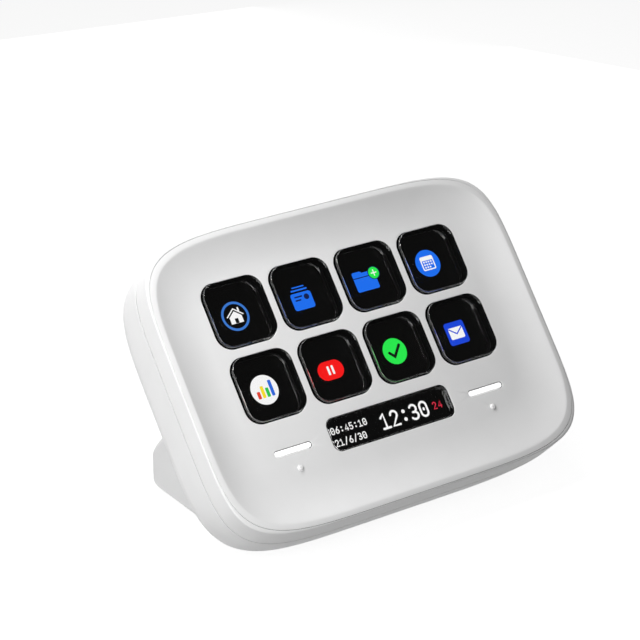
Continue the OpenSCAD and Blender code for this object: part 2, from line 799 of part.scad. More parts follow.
module stand_pad() color([0.15, 0.15, 0.16]) stand_floor(0, pad_t);

module ballast_plate() color("slategray")
    translate([0, face_y + (stand_reach + stand_front) / 2 + 1, 0])
        tile(stand_w - 2 * ballast_side, stand_reach - stand_front - 2 * ballast_margin,
            ballast_corner, plate_top, plate_top + ballast_t);

module stand_screws() color("dimgray") in_face() at_stand_screws()
    screw_up(back_z - stand_wall, stand_wall + wall_t + 0.8 * hub_h);

module plate_screws() color("dimgray") at_plate_screws()
    screw_up(plate_z + head_h + head_recess, plate_t - head_h - head_recess + screw_bite);

front_cover();
rear_cover();
key_guide();
info_window();
info_display();
light_bar(-1);  // light_bar_left
light_bar(1);  // light_bar_right
touch_board(-1);  // touch_board_left
touch_board(1);  // touch_board_right
switch_film();
display_glass();
display_backlight();
inner_frame();
main_board();
board_chips();
board_connectors();
touch_headers();
display_ribbon();
info_ribbon();
switch_ribbon();
usb_c_shell();
usb_c_tongue();
cover_screws();
frame_screws();
board_screws();
stand_shell();
stand_plate();
stand_pad();
ballast_plate();
stand_screws();
plate_screws();
for (n = [1:columns * rows]) silicone_ring(n);
for (n = [1:columns * rows]) key_cap(n);
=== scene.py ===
"""Looks of a desk keypad: a dished white body on a wedge stand, eight clear keys over a display, an
information strip, two touch bars and two tactile dots.

Shapes are drawn in millimetres. Most are drawn in face axes (x right, y up the face, z out of the
face, origin at the middle of the key grid) and are then set into the row frame, in metres.
"""

import json
import math

import bmesh
import bpy
import numpy as np
from mathutils import Matrix, Vector
from mathutils.geometry import delaunay_2d_cdt


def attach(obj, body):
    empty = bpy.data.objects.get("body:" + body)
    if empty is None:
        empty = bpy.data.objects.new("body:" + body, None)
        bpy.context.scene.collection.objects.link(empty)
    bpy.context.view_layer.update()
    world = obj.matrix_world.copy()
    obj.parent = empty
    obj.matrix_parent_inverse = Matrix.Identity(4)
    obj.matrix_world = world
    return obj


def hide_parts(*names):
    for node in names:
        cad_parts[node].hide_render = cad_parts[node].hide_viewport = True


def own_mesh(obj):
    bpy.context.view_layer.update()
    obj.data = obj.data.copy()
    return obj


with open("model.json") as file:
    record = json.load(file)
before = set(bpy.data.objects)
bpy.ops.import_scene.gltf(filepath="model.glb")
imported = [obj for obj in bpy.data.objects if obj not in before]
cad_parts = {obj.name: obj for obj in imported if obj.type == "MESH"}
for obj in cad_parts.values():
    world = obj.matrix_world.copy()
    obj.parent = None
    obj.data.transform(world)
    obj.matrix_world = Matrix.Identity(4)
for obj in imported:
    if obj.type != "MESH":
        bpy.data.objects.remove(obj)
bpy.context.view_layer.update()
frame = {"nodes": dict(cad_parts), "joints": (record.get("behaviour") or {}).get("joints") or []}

# --- Sizes of the part, in millimetres ---

FACE_W, FACE_H = 107.0, 77.8        # outline of the face
POWER, SIDE_POWER = 5.65, 6.2       # squareness of that outline, and of the side wall's
FACE_DROP = 7.9                     # middle of the face below the middle of the key grid
FACE_LIFT = 47.0                    # middle of the key grid above the desk
BODY_DEPTH = 26.0                   # from the lip to the back
COVER_T, WALL_T = 1.8, 2.0          # thickness of the face and of the walls
LIP_H, LIP_W = 2.75, 2.0            # lip round the face
SLOPE_W, SLOPE_END = 10.9, 0.925    # dished slope inside the lip, and its end as a share of the lip
CREASE_IN, CREASE_W = 0.45, 0.11    # inset and width of the groove between face plate and side wall
CREASE_DEPTH = 0.22
SEAM_Z, SEAM_GAP = -4.4, 0.2        # seam between the covers
SIDE_END, BACK_ROUND = -13.2, 12.0  # end of the straight wall, and the rounding of the back
BACK_Z = LIP_H - BODY_DEPTH

PITCH, OPENING, KEY_CORNER = 19.6, 17.35, 4.1
KEY_GAP, KEY_RISE, KEY_EDGE = 0.25, 1.3, 0.35
KEY_TRAVEL = 1.2
FLANGE_LIP, FLANGE_T = 0.5, 0.6
LENS_DROP, LENS_W = 0.7, 15.6
RING_W, RING_WALL = 18.0, 0.9       # silicone ring under a key
RING_PRESSED = 0.5                  # its height when the key is down
DISPLAY_Z = -4.4                    # front of the display glass

STRIP_Y, STRIP_W, STRIP_H, STRIP_CORNER = -26.15, PITCH + OPENING, 8.7, 2.2
STRIP_DISPLAY_Z = -2.3              # front of the strip's small display
BAR_X, BAR_Y, BAR_L, BAR_W = 1.5 * PITCH, -26.45, 10.8, 1.7
DOT_Y, DOT_D, DOT_H = -31.25, 1.5, 0.62

POST_X, POST_Y = 43.75, (15.1, -30.9)
POST_END, POST_SEAT = -12.0, -14.0  # front end of a screw post, and where its screw seats
WELL_D, BOSS_D, BORE_D = 5.0, 7.0, 2.9
SOCKET_Y, SOCKET_W, SOCKET_H = 8.0, 8.94, 3.26
SOCKET_GAP, RECESS_RIM, RECESS_DEPTH = 0.2, 4.0, 0.5

STAND_W, STAND_REACH, STAND_FRONT = 83.0, 37.2, -5.0
STAND_TOP = 5.6                     # ridge of the stand below the middle of the key grid
STAND_CORNER, STAND_FILLET, FOOT_R = 10.0, 2.6, 3.0
STAND_Z = 0.8                       # underside of the stand's shell above the desk
STAND_WALL, STAND_HOLLOW_Z = 2.0, 3.2

SKIN = 0.02                         # the dressed sides lie this far inside the widest outline
MM = 0.001
HALF_W, HALF_H = FACE_W / 2 - SKIN, FACE_H / 2

PRESS_AXIS = Vector(frame["joints"][0]["axis"])
TILT = math.atan2(PRESS_AXIS.y, -PRESS_AXIS.z)
CREASE_Z = 0.8 * LIP_H              # height at which the outline is widest
FRONT_REACH = (HALF_H + FACE_DROP) * math.cos(TILT) + CREASE_Z * math.sin(TILT)
FACE_Y = (FRONT_REACH - STAND_REACH) / 2    # sets the middle of the footprint at the frame's origin
IN_FACE = (
    Matrix.Translation((0, FACE_Y * MM, FACE_LIFT * MM))
    @ Matrix.Rotation(TILT, 4, "X")
    @ Matrix.Scale(MM, 4)
)
IN_DESK = Matrix.Translation((0, FACE_Y * MM, 0)) @ Matrix.Scale(MM, 4)

KEYS = range(1, 9)


def key_place(n):
    """Middle of key n in face axes."""
    return ((n - 1) % 4 - 1.5) * PITCH, (0.5 - (n - 1) // 4) * PITCH


# --- Colours and materials ---


def linear(hex_colour):
    """Linear RGBA of an sRGB colour written as six hex digits."""
    channels = [int(hex_colour[i:i + 2], 16) / 255 for i in (0, 2, 4)]
    return [c / 12.92 if c <= 0.04045 else ((c + 0.055) / 1.055) ** 2.4 for c in channels] + [1.0]


def node_maker(material):
    """A function that adds one shader node, sets its inputs and links the ones given as sockets."""
    tree = material.node_tree

    def add(kind, settings=None, **inputs):
        node = tree.nodes.new(kind)
        for key, value in (settings or {}).items():
            setattr(node, key, value)
        for key, value in inputs.items():
            socket = node.inputs[key.replace("_", " ")]
            if isinstance(value, bpy.types.NodeSocket):
                tree.links.new(value, socket)
            else:
                socket.default_value = value
        return node

    return add


def empty_material(name):
    """A material without nodes, and the function that adds them."""
    material = bpy.data.materials.new(name)
    material.use_nodes = True
    material.node_tree.nodes.clear()
    return material, node_maker(material)


def surface(name, colour, roughness, grain=0.12, bump=0.02, mottle=0.03, rough_spread=0.06, **sockets):
    """Principled material with a fine moulded grain: colour, roughness and height vary a little.

    grain is the size of the grain in millimetres and bump its height in millimetres."""
    material, add = empty_material(name)
    place = add("ShaderNodeTexCoord").outputs["Object"]
    fine = add("ShaderNodeTexNoise", Vector=place, Scale=1 / (grain * MM), Detail=3.0, Roughness=0.6)
    broad = add("ShaderNodeTexNoise", Vector=place, Scale=1 / (9 * MM), Detail=2.0, Roughness=0.5)
    tone = add("ShaderNodeValToRGB", Fac=broad.outputs["Fac"])
    base = linear(colour)
    tone.color_ramp.elements[0].position = 0.3
    tone.color_ramp.elements[1].position = 0.7
    tone.color_ramp.elements[0].color = [c * (1 - mottle) for c in base[:3]] + [1]
    tone.color_ramp.elements[1].color = [min(1, c * (1 + mottle)) for c in base[:3]] + [1]
    gloss = add("ShaderNodeMapRange", Value=fine.outputs["Fac"],
                To_Min=max(0.02, roughness - rough_spread), To_Max=roughness + rough_spread)
    relief = add("ShaderNodeBump", Height=fine.outputs["Fac"], Distance=bump * MM, Strength=1.0)
    shader = add("ShaderNodeBsdfPrincipled", Base_Color=tone.outputs["Color"],
                 Roughness=gloss.outputs["Result"], Normal=relief.outputs["Normal"])
    for key, value in sockets.items():
        shader.inputs[key.replace("_", " ")].default_value = value
    add("ShaderNodeOutputMaterial", Surface=shader.outputs["BSDF"])
    return material


def lit(name, colour):
    """Display light of one colour, with the faint grid of a display's pixels."""
    material, add = empty_material(name)
    place = add("ShaderNodeTexCoord").outputs["Object"]
    pixels = add("ShaderNodeTexNoise", Vector=place, Scale=1 / (0.2 * MM), Detail=1.0)
    tone = add("ShaderNodeValToRGB", Fac=pixels.outputs["Fac"])
    base = linear(colour)
    tone.color_ramp.elements[0].color = [c * 0.94 for c in base[:3]] + [1]
    tone.color_ramp.elements[1].color = base
    shader = add("ShaderNodeBsdfPrincipled", Emission_Color=tone.outputs["Color"])
    shader.inputs["Base Color"].default_value = (0.004, 0.004, 0.004, 1)
    shader.inputs["Specular IOR Level"].default_value = 0.0
    shader.inputs["Emission Strength"].default_value = 1.0
    add("ShaderNodeOutputMaterial", Surface=shader.outputs["BSDF"])
    return material


def clear(name, roughness=0.0, wave=2.5, height=0.004):
    """Clear acrylic with polish marks: wave is their spacing and height their height, in millimetres."""
    material, add = empty_material(name)
    place = add("ShaderNodeTexCoord").outputs["Object"]
    waves = add("ShaderNodeTexNoise", Vector=place, Scale=1 / (wave * MM), Detail=1.0)
    relief = add("ShaderNodeBump", Height=waves.outputs["Fac"], Distance=height * MM, Strength=1.0)
    shader = add("ShaderNodeBsdfPrincipled", Normal=relief.outputs["Normal"])
    shader.inputs["Base Color"].default_value = (1, 1, 1, 1)
    shader.inputs["Roughness"].default_value = roughness
    shader.inputs["IOR"].default_value = 1.49
    shader.inputs["Transmission Weight"].default_value = 1.0
    add("ShaderNodeOutputMaterial", Surface=shader.outputs["BSDF"])
    return material


WHITE = surface("shell_white", "EDEDED", 0.36, grain=0.16, bump=0.004, mottle=0.012, rough_spread=0.05,
                Specular_IOR_Level=0.3)
STAND_WHITE = surface("stand_white", "EBEBEB", 0.42, grain=0.16, bump=0.006, mottle=0.012,
                      Specular_IOR_Level=0.3)
BLACK = surface("inner_black", "050505", 0.6, grain=0.2, bump=0.01, Specular_IOR_Level=0.05)
LINER = surface("opening_black", "040404", 0.5, grain=0.2, bump=0.004, Specular_IOR_Level=0.02)
PANEL = surface("display_panel", "030303", 0.25, grain=0.3, bump=0.002, Specular_IOR_Level=0.02)
FILM = surface("switch_film", "040404", 0.5, grain=0.3, bump=0.003, Specular_IOR_Level=0.02)
TRAY = surface("backlight_tray", "B4B4B8", 0.35, grain=0.3, bump=0.004, Metallic=1.0)
BOARD = surface("circuit_board", "14472C", 0.4, grain=0.5, bump=0.01)
CHIP = surface("chip_black", "1C1C1E", 0.6, grain=0.15, bump=0.008)
IVORY = surface("connector_ivory", "E6DFC8", 0.45, grain=0.2, bump=0.006)
AMBER = surface("ribbon_amber", "B4691E", 0.3, grain=0.4, bump=0.004)
SOCKET = surface("socket_steel", "C6C6CA", 0.25, grain=0.1, bump=0.003, Metallic=1.0)
SCREW = surface("screw_steel", "77777C", 0.38, grain=0.12, bump=0.006, Metallic=1.0)
RUBBER = surface("pad_rubber", "26262A", 0.8, grain=0.25, bump=0.03, rough_spread=0.1)
BALLAST = surface("ballast_steel", "8C8F96", 0.4, grain=0.3, bump=0.01, Metallic=1.0)
# Painted shade: mid grey on the floor of the groove round the face, where shade falls in a real groove
PAINTED_GROOVE_SHADE = surface("crease_shade", "5C5C5C", 0.7, grain=0.16, bump=0.004, Specular_IOR_Level=0.1)
# Painted shade: light grey on the faces in the gap of the seam between the covers, where shade falls
PAINTED_SEAM_SHADE = surface("seam_shade", "C4C4C4", 0.7, grain=0.16, bump=0.004, Specular_IOR_Level=0.1)
SILICONE = surface("silicone", "040404", 0.6, grain=0.2, bump=0.01, Specular_IOR_Level=0.02)
MILKY = surface("light_bar", "FFFFFF", 0.3, grain=0.2, bump=0.003, mottle=0.004,
                Emission_Color=(1, 1, 1, 1), Emission_Strength=0.55)
ACRYLIC = clear("clear_cap")
ACRYLIC_EDGE = clear("clear_cap_edge", wave=0.5, height=0.02)
WINDOW = clear("strip_window", roughness=0.02)


# --- Mesh building ---


class Shape:
    """Points and faces of one piece, in millimetres."""

    def __init__(self):
        self.points, self.faces, self.paints = [], [], []

    def loop(self, points):
        start = len(self.points)
        self.points.extend([float(c) for c in p] for p in points)
        return list(range(start, len(self.points)))

    def face(self, corners, paint=0):
        self.faces.append(list(corners))
        self.paints.append(paint)

    def bridge(self, a, b, paint=0):
        """Quads between two closed loops with the same number of points."""
        for i in range(len(a)):
            j = (i + 1) % len(a)
            self.face((a[i], a[j], b[j], b[i]), paint)

    def tower(self, loops, paint=0):
        """Bridges each loop to the next."""
        for a, b in zip(loops, loops[1:]):
            self.bridge(a, b, paint)

    def make(self, name, materials, place, smooth=40, weighted=True):
        """The piece as a Blender object in the row frame. Edges above the smooth angle stay sharp."""
        mesh = bpy.data.meshes.new(name)
        mesh.from_pydata(self.points, [], self.faces)
        for polygon, paint in zip(mesh.polygons, self.paints):
            polygon.material_index = paint
        build = bmesh.new()
        build.from_mesh(mesh)
        bmesh.ops.recalc_face_normals(build, faces=build.faces)
        build.to_mesh(mesh)
        build.free()
        mesh.transform(place)
        for material in materials:
            mesh.materials.append(material)
        mesh.polygons.foreach_set("use_smooth", [True] * len(mesh.polygons))
        mesh.set_sharp_from_angle(angle=math.radians(smooth))
        mesh.update()
        piece = bpy.data.objects.new(name, mesh)
        bpy.context.scene.collection.objects.link(piece)
        if weighted:
            normals = piece.modifiers.new("weighted_normals", "WEIGHTED_NORMAL")
            normals.keep_sharp = True
            normals.weight = 60
        return piece


def outline_angles(count):
    """Parameters at which the face outline's points lie evenly round it, quarter by quarter."""
    t = np.linspace(0, 1, 5001) ** 3
    fine = math.pi / 2 * t / (t + t[::-1])
    x, y = HALF_W * np.cos(fine) ** (2 / POWER), HALF_H * np.sin(fine) ** (2 / POWER)
    along = np.concatenate([[0], np.cumsum(np.hypot(np.diff(x), np.diff(y)))])
    quarter = np.interp((np.arange(count // 4) + 0.5) / (count // 4) * along[-1], along, fine)
    return np.concatenate([quarter, math.pi - quarter[::-1], math.pi + quarter, 2 * math.pi - quarter[::-1]])


ANGLES = outline_angles(288)


def outline(inset, power):
    """Points of the face outline, moved inward by inset."""
    c, s = np.cos(ANGLES), np.sin(ANGLES)
    x = (HALF_W - inset) * np.sign(c) * np.abs(c) ** (2 / power)
    y = (HALF_H - inset) * np.sign(s) * np.abs(s) ** (2 / power) - FACE_DROP
    return np.stack([x, y], 1)


# Bottom wall: how much it leans out (or in, below 0) at a depth behind the edge of the face
LEAN_TURN = [(0, 0.15), (6.6, 0.09), (9, 0.01), (15.4, -0.09), (22, 0)]
LEAN_DEPTHS = np.linspace(0, 24, 97)
LEANS = np.interp(LEAN_DEPTHS, *zip(*LEAN_TURN))
LEAN_OUT = np.concatenate([[0], np.cumsum((LEANS[1:] + LEANS[:-1]) / 2 * np.diff(LEAN_DEPTHS))])
LEAN_FADE = 5                       # how soon the lean fades away from the bottom edge


def leaned(shape):
    """Gives the bottom side of a cover its lean."""
    for p in shape.points:
        share = max(0.0, -(p[1] + FACE_DROP) / HALF_H) ** LEAN_FADE
        p[1] -= share * np.interp(CREASE_Z - p[2], LEAN_DEPTHS, LEAN_OUT)
    return shape


def ring(inset, z, power):
    """Points of the face outline at one height."""
    flat = outline(inset, power)
    return np.column_stack([flat, np.full(len(flat), z)])


def with_z(flat, z):
    """Flat points with a height, or with one height each."""
    flat = np.asarray(flat)
    return np.column_stack([flat, np.broadcast_to(z, len(flat))])


def inset_of(flat, power_of, deepest):
    """Inset of the outline of the family power_of(inset) that passes through each point."""
    x, y = np.abs(flat[:, 0]), np.abs(flat[:, 1] + FACE_DROP)
    low, high = np.zeros(len(flat)), np.full(len(flat), deepest)
    for _ in range(40):
        middle = (low + high) / 2
        p = power_of(middle)
        outside = (x / (HALF_W - middle)) ** p + (y / (HALF_H - middle)) ** p > 1
        high, low = np.where(outside, middle, high), np.where(outside, low, middle)
    return (low + high) / 2


def rounded_rect(x, y, w, h, r, steps=10):
    """Outline of a rounded rectangle, counter-clockwise."""
    points = []
    for q, (sx, sy) in enumerate([(1, 1), (-1, 1), (-1, -1), (1, -1)]):
        for k in range(steps + 1):
            a = math.pi / 2 * (q + k / steps)
            points.append((x + sx * (w / 2 - r) + r * math.cos(a), y + sy * (h / 2 - r) + r * math.sin(a)))
    return np.array(points)


def circle(x, y, d, steps=40):
    a = np.arange(steps) * 2 * math.pi / steps
    return np.stack([x + d / 2 * np.cos(a), y + d / 2 * np.sin(a)], 1)


def stadium(x, y, l, w, steps=12):
    """Outline of a bar with round ends."""
    return rounded_rect(x, y, l, w, w / 2 - 1e-4, steps)


class Hole:
    """Opening in a cover: a rounded rectangle that can be drawn wider or narrower."""

    def __init__(self, x, y, w, h, r, steps=10):
        self.x, self.y, self.w, self.h, self.r, self.steps = x, y, w, h, min(r, h / 2 - 1e-4), steps

    def outline(self, out=0.0):
        return rounded_rect(self.x, self.y, self.w + 2 * out, self.h + 2 * out, self.r + out, self.steps)

    def covers(self, flat, out=0.0):
        """Which points lie in the opening, or nearer to it than out."""
        dx = np.abs(flat[:, 0] - self.x) - (self.w / 2 - self.r)
        dy = np.abs(flat[:, 1] - self.y) - (self.h / 2 - self.r)
        away = np.hypot(np.maximum(dx, 0), np.maximum(dy, 0)) + np.minimum(np.maximum(dx, dy), 0)
        return away < self.r + out


def oval(x, y, l, w, steps=10):
    """Opening with round ends."""
    return Hole(x, y, l, w, w / 2, steps)


def patch(shape, rings, holes, height, out=0.0, clearance=0.35, paint=0):
    """Surface inside the first ring, with holes, at height(points).

    Returns the loop of the outer edge and the loops of the holes, whose outlines are widened by out."""
    loops = [rings[0]] + [hole.outline(out) for hole in holes]
    free = np.concatenate(rings[1:]) if len(rings) > 1 else np.zeros((0, 2))
    for hole in holes:
        free = free[~hole.covers(free, out + clearance)]
    flat = np.concatenate(loops + [free])
    edges, start = [], 0
    for points in loops:
        edges += [(start + i, start + (i + 1) % len(points)) for i in range(len(points))]
        start += len(points)
    found, _, triangles, origins, _, _ = delaunay_2d_cdt(
        [Vector(p) for p in flat], edges, [], 0, 1e-7, True)
    found = np.array([tuple(p) for p in found])
    new_index = {old: i for i, group in enumerate(origins) for old in group}
    middles = np.array([found[list(t)].mean(0) for t in triangles])
    kept = np.ones(len(triangles), bool)
    for hole in holes:
        kept &= ~hole.covers(middles, out - 1e-3)
    base = shape.loop(with_z(found, height(found)))[0]
    for triangle, keep in zip(triangles, kept):
        if keep:
            shape.face([base + i for i in triangle], paint)
    result, start = [], 0
    for points in loops:
        result.append([base + new_index[start + i] for i in range(len(points))])
        start += len(points)
    return result[0], result[1:]


def sink(shape, loop, hole, radius, inward=-1, steps=3):
    """Rounds the edge of a hole, from its widened outline to its own one. Returns the last loop.

    inward is the way into the hole along z."""
    top = np.array([shape.points[i][2] for i in loop])
    last = loop
    for k in range(1, steps + 1):
        a = math.pi / 2 * k / steps
        new = shape.loop(with_z(hole.outline(radius - radius * math.sin(a)),
                                top + inward * radius * (1 - math.cos(a))))
        shape.bridge(last, new)
        last = new
    return last


def run_rings(shape, first, rings):
    """Bridges rings of the body's outline, given as inset, height, squareness and paint.

    Starts from a first loop and returns the last one."""
    last = first
    for inset, z, power, paint in rings:
        new = shape.loop(ring(inset, z, power))
        shape.bridge(last, new, paint)
        last = new
    return last


# --- Front cover ---


SLOPE_SOFTEN = 0.9                  # loss of squareness from the outer to the inner end of the slope

# Lip from the end of the slope to the crease: inset in millimetres and fall in degrees from there on
LIP_TURN = [(LIP_W, -20), (1.85, -8), (1.7, 0), (1.5, 3), (1.2, 6), (0.85, 8), (0.6, 10)]
CREST = 1.7                         # inset of the lip's highest line


def front_power(inset):
    """Squareness of the face's contour at an inset."""
    return POWER - SLOPE_SOFTEN * np.clip((inset - LIP_W) / SLOPE_W, 0, 1)


def lip_profile():
    """Insets and heights of the lip, from the end of the slope outward."""
    insets = [inset for inset, _ in LIP_TURN] + [CREASE_IN]
    z, heights = SLOPE_END * LIP_H, [SLOPE_END * LIP_H]
    for (inset, fall), after in zip(LIP_TURN, insets[1:]):
        z -= (inset - after) * math.tan(math.radians(fall))
        heights.append(z)
    return insets, heights


LIP_INSETS, LIP_HEIGHTS = lip_profile()


def dish(inset):
    """Height of the dished front at an inset from the outer edge, from the lip's crest inward."""
    share = np.clip((LIP_W + SLOPE_W - inset) / SLOPE_W, 0, 1)
    return np.where(inset < LIP_W, np.interp(inset, LIP_INSETS[::-1], LIP_HEIGHTS[::-1]),
                    SLOPE_END * LIP_H * share ** 2)


def front_height(flat):
    return dish(inset_of(flat, front_power, LIP_W + SLOPE_W + 1))


KEY_HOLES = [Hole(*key_place(n), OPENING, OPENING, KEY_CORNER, 12) for n in KEYS]
STRIP_HOLE = Hole(0, STRIP_Y, STRIP_W, STRIP_H, STRIP_CORNER)
BAR_HOLES = [oval(side * BAR_X, BAR_Y, BAR_L, BAR_W) for side in (-1, 1)]
DOT_SPOTS = [oval(side * BAR_X, DOT_Y, DOT_D, DOT_D, 8) for side in (-1, 1)]
OPENING_ROUND = 0.12                # radius of the openings' edges
SHOULDER = 1.3                      # height over width of the round between groove and side wall
WALL_TOP = -0.6                     # upper end of the wall's inside


def front_skirt():
    """Rings from the lip's crest over the groove down to the seam, then up inside the wall."""
    # crease picks the groove's painted shade, laid on the groove's floor
    # seam picks the painted shade of the faces in the seam's gap
    white, _, crease, seam = range(4)
    low = LIP_HEIGHTS[-1]
    floor_z = low - CREASE_DEPTH
    side = CREASE_IN - CREASE_W
    foot = SEAM_Z + SEAM_GAP / 2
    rings = [(i, z, POWER, white) for i, z in zip(LIP_INSETS, LIP_HEIGHTS) if i < CREST]
    rings += [
        (CREASE_IN - 0.01, low - 0.03, POWER, white),
        (CREASE_IN - 0.015, floor_z, POWER, white),
        (side, floor_z, POWER, crease),
    ]
    for turn in np.radians([0, 18, 36, 54, 72, 90]):
        across = math.sin(turn)
        z = low - 0.05 - SHOULDER * side * (1 - math.cos(turn))
        rings.append((side * (1 - across), z, POWER + (SIDE_POWER - POWER) * across, white))
    rings += [(0, z, SIDE_POWER, white) for z in (1.4, 0, -1.4, -2.8, foot + 0.4, foot + 0.12)]
    rings += [(i, z, SIDE_POWER, seam) for i, z in ((0.035, foot + 0.035), (0.12, foot))]
    return rings + [(WALL_T, foot, POWER, seam), (WALL_T, WALL_TOP, POWER, white)]


def front_cover():
    """Dished face with its openings and dots, the groove round it and the side wall down to the seam."""
    shape = Shape()
    insets = [i for i in reversed(LIP_INSETS) if i >= CREST]
    insets += list(LIP_W + SLOPE_W * np.linspace(0.03, 1, 23))
    openings = KEY_HOLES + [STRIP_HOLE] + BAR_HOLES
    rim, loops = patch(shape, [outline(i, front_power(i)) for i in insets], openings + DOT_SPOTS,
                       front_height, out=OPENING_ROUND)
    inner_insets = [WALL_T + 0.9] + list(np.linspace(WALL_T + 2.5, LIP_W + SLOPE_W, 6))
    inner_rim, inner_loops = patch(
        shape, [outline(i, front_power(i)) for i in inner_insets], openings,
        lambda flat: front_height(flat) - COVER_T, paint=1)
    shape.bridge(run_rings(shape, rim, front_skirt()), inner_rim)
    for hole, loop, inner in zip(openings, loops, inner_loops):
        shape.bridge(sink(shape, loop, hole, OPENING_ROUND), inner, 1)
    for spot, loop in zip(DOT_SPOTS, loops[len(openings):]):
        dome(shape, loop, spot)
    return leaned(shape).make("front_shell", [WHITE, LINER, PAINTED_GROOVE_SHADE, PAINTED_SEAM_SHADE], IN_FACE)


def dome(shape, loop, spot):
    """Tactile dot that rises from a round outline."""
    base = shape.points[loop[0]][2]
    steepness, tip = 0.6, 0.02       # below 1, the dome's side is steeper than a ball's
    profile = [(0.02, -0.02), (0.0, 0.02)]
    profile += [(-DOT_D / 2 * (1 - math.cos(a) ** steepness), DOT_H * math.sin(a))
                for a in np.radians([20, 38, 52, 64, 74, 83])]
    last = loop
    for offset, rise in profile:
        new = shape.loop(with_z(spot.outline(max(offset, -DOT_D / 2 + tip)), base + rise))
        shape.bridge(last, new)
        last = new
    shape.face(last)


# --- Rear cover ---


BACK_SOFTEN = 1.1                   # loss of squareness over the rounding of the back
TONGUE_T, TONGUE_UP, TONGUE_DOWN = 1.2, 1.4, 2.2    # tongue that reaches into the front cover
WELL_ROUND = 0.25                   # radius of the edges of wells and recess


def back_rise(inset, start=0.0):
    """Share of the back's rounding that is reached at an inset. The rounding starts at another."""
    return np.sqrt(1 - (1 - np.clip((inset - start) / (BACK_ROUND - start), 0, 1)) ** 2)


def rear_power(inset, start=0.0):
    """Squareness of the back's contour at an inset."""
    return POWER - BACK_SOFTEN * back_rise(inset, start)


def rear_height(flat, start=0.0):
    """Height of the back's outside or, from the wall's thickness on, of its inside."""
    inset = inset_of(flat, lambda i: rear_power(i, start), BACK_ROUND + 1)
    return SIDE_END + (BACK_Z + start - SIDE_END) * back_rise(inset, start)


def rear_walls(turns):
    """Rings from the back's rounding up to the seam, then over the tongue and down inside the wall."""
    # seam picks the painted shade of the faces in the seam's gap and on the tongue
    white, seam = range(2)
    head = SEAM_Z - SEAM_GAP / 2
    square_z = SEAM_Z - 2            # from here on the wall has the squareness of the front cover's
    rings = []
    for turn in turns:
        inset = BACK_ROUND * (1 - math.cos(turn))
        rings.append((inset, SIDE_END + (BACK_Z - SIDE_END) * math.sin(turn), rear_power(inset), white))
    rings += [(0, z, np.interp(z, (SIDE_END, square_z), (POWER, SIDE_POWER)), white)
              for z in np.linspace(SIDE_END, head - 0.4, 9)[1:]]
    rings += [(0, head - 0.12, SIDE_POWER, white), (0.035, head - 0.035, SIDE_POWER, white),
              (0.12, head, SIDE_POWER, seam)]
    foot, tip = WALL_T + 0.15, WALL_T + TONGUE_T
    rings += [(i, z, POWER, seam) for i, z in (
        (foot, head), (foot, head + TONGUE_UP), (tip, head + TONGUE_UP))]
    return rings + [(i, z, POWER, white) for i, z in (
        (tip, head - TONGUE_DOWN), (WALL_T, head - TONGUE_DOWN), (WALL_T, SIDE_END))]


def rear_cover():
    """Side wall from the seam on and the rounded back, with its screw wells and the socket's slot."""
    shape = Shape()
    posts = [(side * POST_X, y) for side in (-1, 1) for y in POST_Y]
    wells = [oval(x, y, WELL_D, WELL_D) for x, y in posts]
    bosses = [oval(x, y, BOSS_D, BOSS_D) for x, y in posts]
    recess = oval(0, SOCKET_Y, SOCKET_W + RECESS_RIM, SOCKET_H + RECESS_RIM, 12)
    slot = oval(0, SOCKET_Y, SOCKET_W + SOCKET_GAP, SOCKET_H + SOCKET_GAP, 12)

    turns = [math.radians(a) for a in np.linspace(0, 90, 31)]
    split = 10                       # where the rounding's rings give way to the patch
    insets = [BACK_ROUND * (1 - math.cos(a)) for a in turns[split:]]
    rim, loops = patch(shape, [outline(i, rear_power(i)) for i in insets], wells + [recess],
                       rear_height, out=WELL_ROUND)
    inner = [WALL_T + (BACK_ROUND - WALL_T) * (1 - math.cos(a))
             for a in np.radians(np.linspace(20, 90, 10))]
    inner_rim, inner_loops = patch(
        shape, [outline(i, rear_power(i, WALL_T)) for i in inner], bosses + [slot],
        lambda flat: rear_height(flat, WALL_T))
    shape.bridge(run_rings(shape, rim, rear_walls(turns[split - 1::-1])), inner_rim)

    # Screw wells with their bosses, bored through for the screws
    for well, boss, loop, inside in zip(wells, bosses, loops, inner_loops):
        bore = oval(well.x, well.y, BORE_D, BORE_D)
        shape.tower([
            sink(shape, loop, well, WELL_ROUND, inward=1),
            shape.loop(with_z(well.outline(), POST_SEAT)),
            shape.loop(with_z(bore.outline(), POST_SEAT)),
            shape.loop(with_z(bore.outline(), POST_END)),
            shape.loop(with_z(boss.outline(), POST_END)),
            inside,
        ])

    # Socket recess and slot
    floor_z, chamfer = BACK_Z + RECESS_DEPTH, 0.15
    shape.tower([
        sink(shape, loops[-1], recess, WELL_ROUND, inward=1),
        shape.loop(with_z(recess.outline(), floor_z)),
        shape.loop(with_z(slot.outline(chamfer), floor_z)),
        shape.loop(with_z(slot.outline(), floor_z + chamfer)),
        inner_loops[-1],
    ])
    return leaned(shape).make("rear_shell", [WHITE, PAINTED_SEAM_SHADE], IN_FACE)


# --- Stand ---


def desk(y, z):
    """Point of the face's y-z plane in desk axes: behind the face origin, and above the desk."""
    return (y * math.cos(TILT) - z * math.sin(TILT), FACE_LIFT + y * math.sin(TILT) + z * math.cos(TILT))


RIDGE_Y, RIDGE_Z = desk(-STAND_TOP, BACK_Z)
STAND_LOWEST = STAND_Z + 1.2        # the top surface stays above this height


